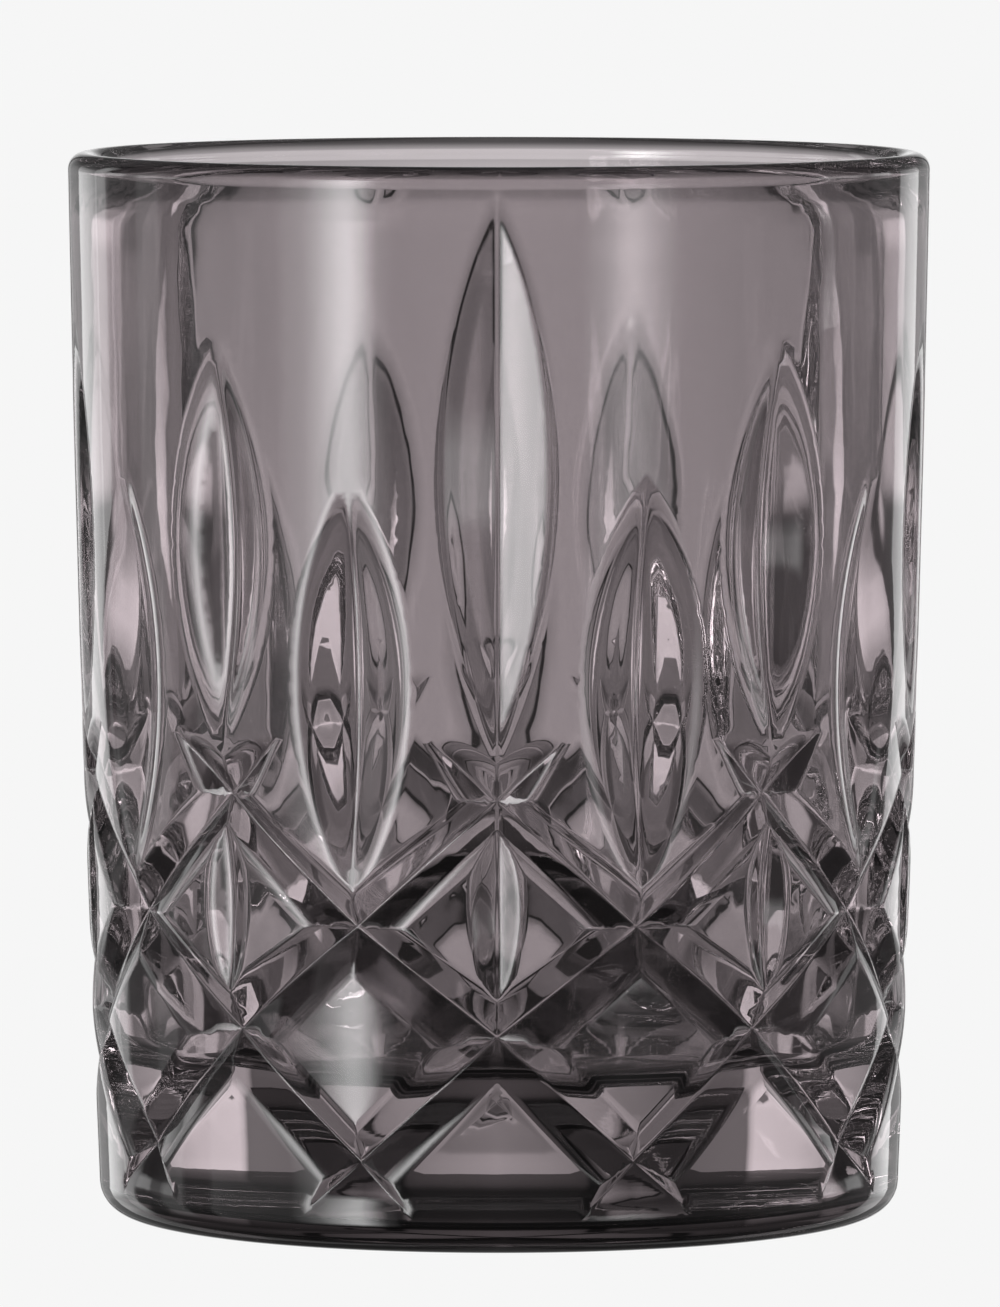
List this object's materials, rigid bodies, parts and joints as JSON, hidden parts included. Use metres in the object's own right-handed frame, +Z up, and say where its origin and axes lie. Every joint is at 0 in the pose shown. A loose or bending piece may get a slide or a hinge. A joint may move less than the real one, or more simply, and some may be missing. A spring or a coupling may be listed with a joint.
{
  "type": "whiskey tumbler",
  "caption": "Pressed crystal-style whiskey tumbler in smoky taupe glass, with leaf cuts above a diamond lattice and a thick base.",
  "frame": {"origin": "centre of the resting face at the bottom of the glass", "axes": "+Z up along the axis of the glass, towards the rim; -Y towards the tall leaf cut at the front; +X to the right as seen from the front"},
  "size_m": [0.0794, 0.0794, 0.098],
  "materials": {
    "smoked_glass": "gloss"
  },
  "bodies": {
    "root": {"tumbler_glass": "smoked_glass"}
  },
  "joints": []
}
